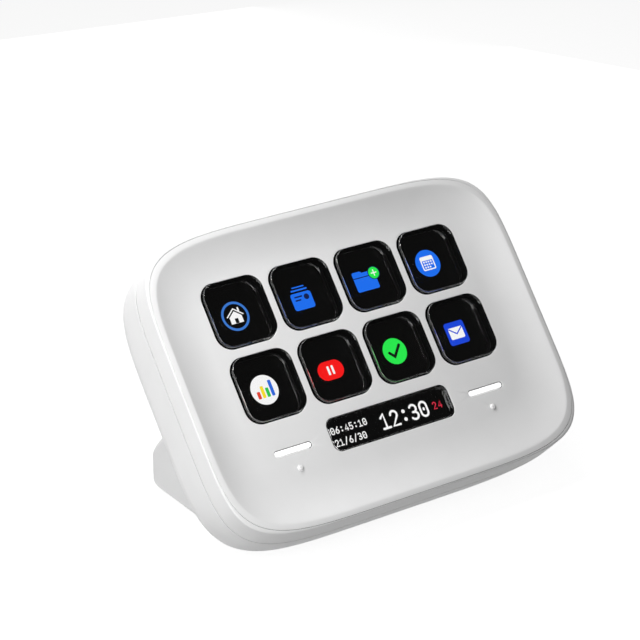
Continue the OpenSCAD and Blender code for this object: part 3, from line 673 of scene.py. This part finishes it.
def stand_outline(inset, side_steps=48, corner_steps=14):
    """Plan of the stand, moved inward: square in front, where the body stands on it, round behind."""
    w, front, rear = STAND_W / 2 - inset, STAND_FRONT + inset, STAND_REACH - SKIN - inset
    r = STAND_CORNER - inset
    corner = [(math.cos(a) * r, math.sin(a) * r) for a in np.linspace(0, math.pi / 2, corner_steps)]
    right = [(w, front + (rear - r - front) * k / side_steps) for k in range(side_steps)]
    right += [(w - r + x, rear - r + y) for x, y in corner]
    left = [(-x, y) for x, y in reversed(right)]
    rear_edge = [((w - r) * (1 - 2 * k / 10), rear) for k in range(1, 10)]
    front_edge = [(-w + 2 * w * k / 20, front) for k in range(1, 20)]
    return np.array(right + rear_edge + left + front_edge)


def stand_top(y, drop=0.0):
    """Height of the stand over the desk at y behind the face origin, drop lower where it is in the open."""
    centre_y, centre_z = STAND_REACH - FOOT_R, STAND_Z + FOOT_R
    away = math.hypot(RIDGE_Z - centre_z, RIDGE_Y - centre_y)
    tangent = math.atan2(RIDGE_Z - centre_z, RIDGE_Y - centre_y) - math.acos(FOOT_R / away)
    touch_y, touch_z = centre_y + FOOT_R * math.cos(tangent), centre_z + FOOT_R * math.sin(tangent)
    behind = RIDGE_Z + (y - RIDGE_Y) * (touch_z - RIDGE_Z) / (touch_y - RIDGE_Y)
    foot = centre_z + np.sqrt(np.maximum(0, FOOT_R ** 2 - np.maximum(0, y - centre_y) ** 2))
    under = RIDGE_Z + (y - RIDGE_Y) * math.tan(TILT)
    return np.maximum(np.minimum(under, np.where(y < touch_y, behind, foot) - drop), STAND_LOWEST)


def inside_stand(point, inset):
    """Whether a point lies in the stand's plan, moved inward."""
    x, y = abs(point[0]), point[1]
    w, rear, r = STAND_W / 2 - inset, STAND_REACH - inset, STAND_CORNER - inset
    if x > w or y > rear or y < STAND_FRONT + inset:
        return False
    return not (x > w - r and y > rear - r and math.hypot(x - w + r, y - rear + r) > r)


def stand_grid(inset, step=2.2):
    """Points over the stand, with one row on its ridge."""
    half_w = STAND_W / 2 - STAND_FILLET - 1.5
    rows = [RIDGE_Y + k * step for k in range(-12, 30)]
    points = [(x, y) for x in np.arange(-half_w, half_w + 0.01, step) for y in rows]
    return np.array([p for p in points if inside_stand(p, inset)])


def stand():
    """Wedge stand: hollow below, rounded edges above, and a top that is cut off where the body rests."""
    shape = Shape()
    steps = 7
    rings = []
    for k in range(steps, -1, -1):
        a = math.pi / 2 * k / steps
        flat = stand_outline(STAND_FILLET * (1 - math.cos(a)))
        rings.append(with_z(flat, stand_top(flat[:, 1], STAND_FILLET * (1 - math.sin(a)))))
    top, _ = patch(shape, [rings[0][:, :2], stand_grid(STAND_FILLET + 0.8)], [],
                   lambda flat: stand_top(flat[:, 1]))
    foot = [(0, 0.35), (0.1, 0.1), (0.35, 0), (STAND_WALL, 0)]      # inset, and height over the underside
    rings = rings[1:] + [with_z(stand_outline(inset), STAND_Z + rise) for inset, rise in foot]
    rings.append(with_z(stand_outline(STAND_WALL), STAND_HOLLOW_Z))
    loops = [shape.loop(points) for points in rings]
    shape.tower([top] + loops)
    shape.face(loops[-1])
    return shape.make("stand_shell_dressed", [STAND_WHITE], IN_DESK)


# --- Keys ---


def square_loop(shape, n, size, corner, z, steps=10):
    """Rounded square about the middle of key n."""
    x, y = key_place(n)
    return shape.loop(with_z(rounded_rect(x, y, size, size, corner, steps), z))


def key_cap(n):
    """Clear cap: lens, flange under the cover, and the button with its rounded edge."""
    shape = Shape()
    w, r = OPENING - 2 * KEY_GAP, KEY_CORNER - KEY_GAP
    lens_r = r - 0.6
    flange, flange_r = OPENING + 2 * FLANGE_LIP, KEY_CORNER + FLANGE_LIP
    flange_z = -COVER_T - FLANGE_T
    lens_z = flange_z - LENS_DROP
    small = 0.12                     # rounding of the hidden edges
    sizes = [
        (LENS_W - 2 * small, lens_r - small, lens_z), (LENS_W, lens_r, lens_z + small),
        (LENS_W, lens_r, flange_z), (flange, flange_r, flange_z), (flange, flange_r, -COVER_T),
        (w, r, -COVER_T),
    ]
    for k in range(13):
        a = math.pi / 2 * k / 12
        d = KEY_EDGE * (1 - math.cos(a))
        sizes.append((w - 2 * d, r - d, KEY_RISE - KEY_EDGE * (1 - math.sin(a))))
    sizes.append((w - 2 * KEY_EDGE - 0.2, r - KEY_EDGE - 0.1, KEY_RISE))
    loops = [square_loop(shape, n, *size, steps=14) for size in sizes]
    shape.tower(loops[:5], 2)
    shape.tower(loops[4:], 1)
    shape.face(loops[0])
    shape.face(loops[-1])
    cap = shape.make(f"clear_cap_{n}", [ACRYLIC, ACRYLIC_EDGE, LINER], IN_FACE)
    cap.visible_shadow = cap.visible_diffuse = False
    return cap


def silicone_ring(n):
    """Soft ring between a cap's flange and the switch film."""
    shape = Shape()
    front = -COVER_T - FLANGE_T
    film = front - KEY_TRAVEL - RING_PRESSED
    top = front - 0.02               # leaves a little room under the flange
    hollow = RING_W - 2 * RING_WALL
    outer_r, inner_r = KEY_CORNER + 0.3, KEY_CORNER - 0.5
    loops = [square_loop(shape, n, *size) for size in (
        (RING_W, outer_r, film), (RING_W, outer_r, top), (hollow, inner_r, top), (hollow, inner_r, film))]
    shape.tower(loops + loops[:1])
    soft = shape.make(f"soft_ring_{n}", [SILICONE], IN_FACE, weighted=False)
    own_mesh(soft)
    return soft


# --- Pictures on the displays ---


class Picture(Shape):
    """Flat lit shapes in layers on a display. Each layer is a thin plate just above the one below.

    Places are from the picture's middle. paint picks one of the materials that the picture is made in."""

    def __init__(self, x, y, z, thickness=0.013):
        super().__init__()
        self.x, self.y, self.z, self.t = x, y, z, thickness

    def plate(self, points, paint, layer=0):
        points = np.asarray(points) + (self.x, self.y)
        low = self.loop(with_z(points, self.z + layer * self.t))
        high = self.loop(with_z(points, self.z + (layer + 1) * self.t))
        self.bridge(low, high, paint)
        self.face(low, paint)
        self.face(high, paint)

    def hoop(self, d, width, paint):
        """Round line in the lowest layer."""
        outer = circle(self.x, self.y, d, 64)
        inner = circle(self.x, self.y, d - 2 * width, 64)
        loops = [self.loop(with_z(points, self.z + k * self.t))
                 for points, k in ((outer, 0), (outer, 1), (inner, 1), (inner, 0))]
        self.tower(loops + loops[:1], paint)

    def stroke(self, path, width, paint, layer=0):
        """Line of even width with round ends along an open path of points."""
        path = np.asarray(path, float)
        ahead = np.diff(path, axis=0)
        ahead /= np.linalg.norm(ahead, axis=1)[:, None]
        turned = np.stack([-ahead[:, 1], ahead[:, 0]], 1)
        aside = np.concatenate([turned[:1], (turned[:-1] + turned[1:]) / 2, turned[-1:]])
        aside *= width / 2 / np.maximum(0.35, (aside ** 2).sum(1))[:, None]
        last = len(path) - 1
        ends = []
        for centre, along in ((path[-1], ahead[-1]), (path[0], -ahead[0])):
            start = math.atan2(along[1], along[0]) - math.pi / 2
            turns = start + np.linspace(0, math.pi, 9)[1:-1]
            ends.append(centre + width / 2 * np.stack([np.cos(turns), np.sin(turns)], 1))
        round_end = len(ends[0])
        edge = np.concatenate([path - aside, ends[0], (path + aside)[::-1], ends[1]]) + (self.x, self.y)
        loops = [self.loop(with_z(edge, self.z + (layer + k) * self.t)) for k in (0, 1)]
        self.bridge(*loops, paint)
        left = [last + 1 + round_end + last - i for i in range(last + 1)]
        for loop in loops:
            for i in range(last):
                self.face([loop[k] for k in (i, i + 1, left[i + 1], left[i])], paint)
            self.face([loop[k] for k in range(last, last + 2 + round_end)], paint)
            self.face([loop[k % len(loop)] for k in range(left[0], len(loop) + 1)], paint)


PICTURE_SHIFT = (0.22, -0.15)       # of every picture from the middle of its key


def rect(x, y, w, h, r):
    return rounded_rect(x, y, w, h, r, 6)


def picture_home(p):
    p.hoop(7.6, 0.62, 0)
    p.plate([(-1.75, -1.85), (1.75, -1.85), (1.75, -0.1), (0, 1.3), (-1.75, -0.1)], 1)
    p.plate(rect(0, -1.2, 0.95, 1.25, 0.05), 2, 1)
    p.stroke([(-2.25, 0.15), (0, 1.95), (2.25, 0.15)], 0.3, 1)
    p.stroke([(1.35, 1.2), (1.35, 1.9)], 0.45, 1)


def picture_cards(p):
    p.plate(rect(0, -0.75, 6.0, 4.5, 0.7), 0)
    p.stroke([(-2.2, 2.2), (2.2, 2.2)], 0.42, 0)
    p.stroke([(-1.65, 3.0), (1.65, 3.0)], 0.32, 0)
    p.stroke([(-1.85, 0.5), (0.15, 0.5)], 0.38, 1, 1)
    p.stroke([(-1.85, -0.4), (-0.5, -0.4)], 0.38, 1, 1)
    p.plate(circle(1.45, 0.1, 1.5), 1, 1)


def picture_folder(p):
    p.plate([(-3.4, -2.4), (-3.1, -2.7), (3.0, -2.7), (3.3, -2.4), (3.3, 1.9), (3.0, 2.2), (-0.4, 2.2),
             (-0.9, 2.65), (-3.1, 2.65), (-3.4, 2.35)], 0)
    p.stroke([(-3.35, 1.0), (3.25, 1.0)], 0.24, 3, 1)
    p.plate(circle(3.0, 1.4, 3.55, 48), 3, 2)
    p.plate(circle(3.0, 1.4, 3.1, 48), 1, 3)
    p.stroke([(2.25, 1.4), (3.75, 1.4)], 0.26, 2, 4)
    p.stroke([(3.0, 0.65), (3.0, 2.15)], 0.26, 2, 5)


def picture_calendar(p):
    p.plate(circle(0, 0, 7.35, 64), 0)
    p.plate(rect(0, 0.05, 4.0, 3.8, 0.45), 1, 1)
    p.plate(rect(0, -0.35, 3.3, 2.35, 0.15), 0, 2)
    for row in range(3):
        for column in range(4 - (row == 2)):
            p.plate(rect(-1.08 + 0.72 * column, 0.4 - 0.72 * row, 0.44, 0.44, 0.1), 1, 3)


def picture_chart(p):
    p.plate(circle(0, 0, 7.6, 64), 0)
    for k, (height, paint) in enumerate([(1.9, 1), (3.1, 2), (2.4, 3), (4.1, 4)]):
        p.plate(rect(-1.95 + 1.3 * k, -2.0 + height / 2, 0.9, height, 0.25), paint, 1)


def picture_pause(p):
    p.plate(stadium(0, 0, 7.5, 4.9), 0)
    for side in (-1, 1):
        p.plate(rect(side * 0.62, 0, 0.62, 2.3, 0.2), 1, 1)


def picture_tick(p):
    p.plate(circle(0, 0, 6.9, 64), 0)
    p.stroke([(-1.7, -0.1), (-0.5, -1.35), (1.8, 1.3)], 0.75, 1, 1)


def picture_mail(p):
    p.plate(rect(0, 0, 6.1, 6.1, 0.7), 0)
    p.plate(rect(0, 0, 4.3, 3.1, 0.35), 1, 1)
    p.stroke([(-1.95, 1.25), (0, -0.25), (1.95, 1.25)], 0.34, 0, 2)


BLUE = lit("lit_blue", "1A72F8")
RING_BLUE = lit("lit_ring_blue", "3C7CD6")
DEEP_BLUE = lit("lit_deep_blue", "1747E0")
NAVY = lit("lit_navy", "0A1C50")
LIT_WHITE = lit("lit_white", "FFFFFF")
DARK = lit("lit_dark", "05070A")
GREEN = lit("lit_green", "28F050")
RED = lit("lit_red", "FF1414")
ROSE = lit("lit_rose", "E03048")
CHART = [lit(f"lit_chart_{name}", colour) for name, colour in (
    ("red", "E8402C"), ("yellow", "FFE428"), ("green", "2CC850"), ("blue", "2C6CE0"))]

PICTURES = {
    1: (picture_home, [RING_BLUE, LIT_WHITE, DARK]),
    2: (picture_cards, [BLUE, NAVY]),
    3: (picture_folder, [BLUE, GREEN, LIT_WHITE, NAVY]),
    4: (picture_calendar, [BLUE, LIT_WHITE]),
    5: (picture_chart, [LIT_WHITE] + CHART),
    6: (picture_pause, [RED, LIT_WHITE]),
    7: (picture_tick, [GREEN, DARK]),
    8: (picture_mail, [DEEP_BLUE, LIT_WHITE]),
}


def arc(x, y, rx, ry, start, end, steps=9):
    """Points of an elliptic arc."""
    a = np.radians(np.linspace(start, end, steps))
    return list(zip(x + rx * np.cos(a), y + ry * np.sin(a)))


# Strokes of the digits in a cell 0.6 wide and 1 high
DIGITS = {
    "0": [arc(0.3, 0.69, 0.23, 0.24, 0, 180) + arc(0.3, 0.31, 0.23, 0.24, 180, 360),
          [(0.53, 0.31), (0.53, 0.69)], [(0.3, 0.47), (0.3, 0.53)]],
    "1": [[(0.08, 0.72), (0.31, 0.93), (0.31, 0.07)], [(0.07, 0.07), (0.55, 0.07)]],
    "2": [arc(0.3, 0.7, 0.22, 0.23, 170, -25) + [(0.08, 0.07), (0.54, 0.07)]],
    "3": [arc(0.28, 0.71, 0.22, 0.22, 150, -80) + [(0.22, 0.5)],
          [(0.22, 0.5)] + arc(0.28, 0.29, 0.24, 0.22, 80, -150)],
    "4": [[(0.42, 0.07), (0.42, 0.93), (0.07, 0.3), (0.56, 0.3)]],
    "5": [[(0.51, 0.93), (0.14, 0.93), (0.11, 0.52)] + arc(0.29, 0.33, 0.24, 0.26, 130, -150)],
    "6": [[(0.46, 0.93), (0.13, 0.5)] + arc(0.3, 0.31, 0.23, 0.24, 160, 500, 16)],
    "/": [[(0.1, 0.0), (0.5, 1.0)]],
    ":": [[(0.3, 0.24), (0.3, 0.245)], [(0.3, 0.72), (0.3, 0.725)]],
}


def write(p, text, x, y, height, pitch, stroke, paint):
    """Digits and plain signs of one width, from left to right."""
    for place, sign in enumerate(text):
        width = stroke * 1.7 if sign == ":" else stroke
        for path in DIGITS[sign]:
            p.stroke([(x + place * pitch + a * height, y + b * height) for a, b in path], width, paint)


def strip_picture():
    """Clock, two small rows of digits and a red number, all plain digits."""
    p = Picture(0, STRIP_Y, STRIP_DISPLAY_Z + 0.01, 0.015)
    write(p, "12:30", -2.6, -2.35, 4.35, 3.0, 0.58, 0)
    write(p, "06:45:10", -17.0, 0.3, 1.85, 1.37, 0.27, 0)
    write(p, "21/6/30", -17.0, -2.85, 1.85, 1.37, 0.27, 0)
    write(p, "24", 13.5, -1.2, 2.0, 1.6, 0.27, 1)
    return p.make("strip_picture", [LIT_WHITE, ROSE], IN_FACE, weighted=False)


def set_in(hole, gap, flange, top, edge, steps):
    """Shape that stands in an opening of the cover, with a rounded upper edge.

    flange gives the loops of its part under the cover: how far out from its side, and height."""
    shape = Shape()
    profile = flange + [(0, -COVER_T)]
    for k in range(steps + 1):
        a = math.pi / 2 * k / steps
        profile.append((-edge * (1 - math.cos(a)), top - edge * (1 - math.sin(a))))
    loops = [shape.loop(with_z(hole.outline(out - gap), z)) for out, z in profile]
    shape.tower(loops)
    shape.face(loops[0])
    shape.face(loops[-1])
    return shape


def strip_window():
    gap, low, small = 0.15, STRIP_DISPLAY_Z + 0.06, 0.1
    lip = gap + 1.0
    flange = [(lip - small, low), (lip, low + small), (lip, -COVER_T)]
    shape = set_in(STRIP_HOLE, gap, flange, top=0, edge=0.3, steps=6)
    window = shape.make("strip_window", [WINDOW], IN_FACE, smooth=50)
    window.visible_shadow = window.visible_diffuse = False
    return window


def light_bar(hole, name):
    gap, flange_t, sunk = 0.16, 0.8, 0.12
    lip = gap + 0.7
    flange = [(lip, -COVER_T - flange_t), (lip, -COVER_T)]
    return set_in(hole, gap, flange, top=-sunk, edge=0.12, steps=5).make(name, [MILKY], IN_FACE)


# --- Put the pieces on the frame ---


def stands_for(piece, body, slot, *nodes):
    """Sets a piece on its body in place of the CAD nodes that it shows. The slot is not used."""
    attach(piece, body)
    if nodes:
        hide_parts(*nodes)


stands_for(front_cover(), "housing", "shell_white", "front_cover")
stands_for(rear_cover(), "housing", "shell_white", "rear_cover")
stands_for(stand(), "housing", "shell_white", "stand_shell")
stands_for(strip_window(), "housing", "window_black", "info_window")
for hole, side in zip(BAR_HOLES, ("left", "right")):
    stands_for(light_bar(hole, f"touch_bar_{side}"), "housing", "light_bar", f"light_bar_{side}")
stands_for(strip_picture(), "housing", "display_panel")
for n in KEYS:
    stands_for(key_cap(n), f"key_{n}", "clear_cap", f"key_cap_{n}")
    stands_for(silicone_ring(n), "housing", "silicone", f"silicone_ring_{n}")
    draw, paints = PICTURES[n]
    x, y = key_place(n)
    picture = Picture(x + PICTURE_SHIFT[0], y + PICTURE_SHIFT[1], DISPLAY_Z + 0.01)
    draw(picture)
    stands_for(picture.make(f"picture_{n}", paints, IN_FACE, weighted=False), "housing", "display_panel")

NODE_MATERIALS = {
    "key_guide": BLACK, "inner_frame": BLACK, "stand_plate": BLACK, "info_display": PANEL,
    "display_glass": PANEL, "display_backlight": TRAY, "touch_board_left": BOARD,
    "touch_board_right": BOARD, "main_board": BOARD, "switch_film": FILM, "board_chips": CHIP,
    "board_connectors": IVORY, "touch_headers": CHIP, "display_ribbon": AMBER, "info_ribbon": AMBER,
    "switch_ribbon": AMBER, "usb_c_shell": SOCKET, "usb_c_tongue": CHIP, "cover_screws": SCREW,
    "frame_screws": SCREW, "board_screws": SCREW, "stand_screws": SCREW, "plate_screws": SCREW,
    "stand_pad": RUBBER, "ballast_plate": BALLAST,
}
for name, material in NODE_MATERIALS.items():
    node = frame["nodes"][name]
    node.data.materials.clear()
    node.data.materials.append(material)


# --- Floor, light and camera ---

FLOOR_HALF = 3.0                    # metres
FLOOR_GREY, FLOOR_GLOW = 0.3, 0.9   # what the floor reflects, and its glow to camera, gloss and glass
SKY_LEVEL, BACKDROP = 0.03, 0.93    # light of the world on the object, and what the camera sees
LAMP_AIM = Vector((0, 0, 0.035))    # middle of the object

# Lamps: name, azimuth (0 in front, -90 left) and elevation, distance and size in metres, energy in watts
LAMPS = [
    ("main_light", (-90, 55), 0.30, 0.10, 0.51),
    ("back_light", (180, 75), 0.25, 0.10, 0.205),
    ("front_light", (-50, 20), 0.30, 0.20, 0.44),
    ("left_light", (-90, 5), 0.35, 0.30, 0.195),
    ("right_light", (112, 5), 0.35, 0.30, 0.30),
    ("rear_light", (170, 10), 0.40, 0.30, 0.34),
]


def larger(add, link, a, b):
    """The larger one of two values in a node tree."""
    node = add("ShaderNodeMath", {"operation": "MAXIMUM"})
    link(a, node.inputs[0])
    link(b, node.inputs[1])
    return node.outputs[0]


def floor():
    """White floor that keeps the object's shadow and shows as white to camera, gloss and glass."""
    material, add = empty_material("floor_white")
    link = material.node_tree.links.new
    seen = add("ShaderNodeLightPath").outputs
    shown = larger(add, link, seen["Is Camera Ray"], seen["Is Glossy Ray"])
    shown = larger(add, link, shown, seen["Is Transmission Ray"])
    diffuse = add("ShaderNodeBsdfDiffuse", Color=(FLOOR_GREY, FLOOR_GREY, FLOOR_GREY, 1))
    glow = add("ShaderNodeEmission", Color=(1, 1, 1, 1), Strength=FLOOR_GLOW)
    both = add("ShaderNodeAddShader")
    mix = add("ShaderNodeMixShader", Fac=shown)
    link(diffuse.outputs[0], both.inputs[0])
    link(glow.outputs[0], both.inputs[1])
    link(diffuse.outputs[0], mix.inputs[1])
    link(both.outputs[0], mix.inputs[2])
    add("ShaderNodeOutputMaterial", Surface=mix.outputs[0])
    mesh = bpy.data.meshes.new("floor")
    h = FLOOR_HALF
    mesh.from_pydata([(-h, -h, 0), (h, -h, 0), (h, h, 0), (-h, h, 0)], [], [(0, 1, 2, 3)])
    mesh.materials.append(material)
    ground = bpy.data.objects.new("floor", mesh)
    bpy.context.scene.collection.objects.link(ground)


def soft_light(name, direction, distance, size, energy):
    """Square soft light that shines on the object from a direction."""
    azimuth, elevation = (math.radians(v) for v in direction)
    back = Vector((math.sin(azimuth) * math.cos(elevation), -math.cos(azimuth) * math.cos(elevation),
                   math.sin(elevation)))
    lamp = bpy.data.lights.new(name, "AREA")
    lamp.shape = "SQUARE"
    lamp.size = size
    lamp.energy = energy
    light = bpy.data.objects.new(name, lamp)
    light.location = LAMP_AIM + back * distance
    light.rotation_mode = "QUATERNION"
    light.rotation_quaternion = back.to_track_quat("Z", "Y")
    light.visible_camera = False
    bpy.context.scene.collection.objects.link(light)


def camera():
    """Camera of the photograph, solved on the key grid: place in metres, angles in degrees."""
    place = (-0.31074, -0.44142, 0.28439)
    azimuth, elevation, roll = -34.453, 23.803, -0.274
    lens = bpy.data.cameras.new("camera")
    lens.sensor_fit = "AUTO"
    lens.sensor_width = 36.0
    lens.lens = 132.57
    eye = bpy.data.objects.new("camera", lens)
    turn = (
        Matrix.Rotation(math.radians(azimuth), 4, "Z")
        @ Matrix.Rotation(math.radians(90 - elevation), 4, "X")
        @ Matrix.Rotation(math.radians(roll), 4, "Z")
    )
    eye.matrix_world = Matrix.Translation(place) @ turn
    bpy.context.scene.collection.objects.link(eye)
    bpy.context.scene.camera = eye


def sky():
    """Plain grey light all round. The camera sees white, and gloss and glass see white low down."""
    world = bpy.data.worlds.new("studio")
    bpy.context.scene.world = world
    world.use_nodes = True
    add = node_maker(world)
    link = world.node_tree.links.new
    seen = add("ShaderNodeLightPath").outputs
    shiny = larger(add, link, seen["Is Glossy Ray"], seen["Is Transmission Ray"])
    rise = add("ShaderNodeSeparateXYZ", Vector=add("ShaderNodeTexCoord").outputs["Generated"])
    # From the sine of the height over the horizon to the backdrop's brightness
    backdrop = add("ShaderNodeMapRange", Value=rise.outputs["Z"], From_Min=0.2, From_Max=0.5,
                   To_Min=0.9, To_Max=0.045)
    level = add("ShaderNodeMix", Factor=shiny, A=SKY_LEVEL, B=backdrop.outputs["Result"])
    level = add("ShaderNodeMix", Factor=seen["Is Camera Ray"], A=level.outputs["Result"], B=BACKDROP)
    background = world.node_tree.nodes["Background"]
    background.inputs["Color"].default_value = (1, 1, 1, 1)
    link(level.outputs["Result"], background.inputs["Strength"])


floor()
camera()
sky()
for settings in LAMPS:
    soft_light(*settings)
bpy.context.scene.view_settings.view_transform = "Standard"
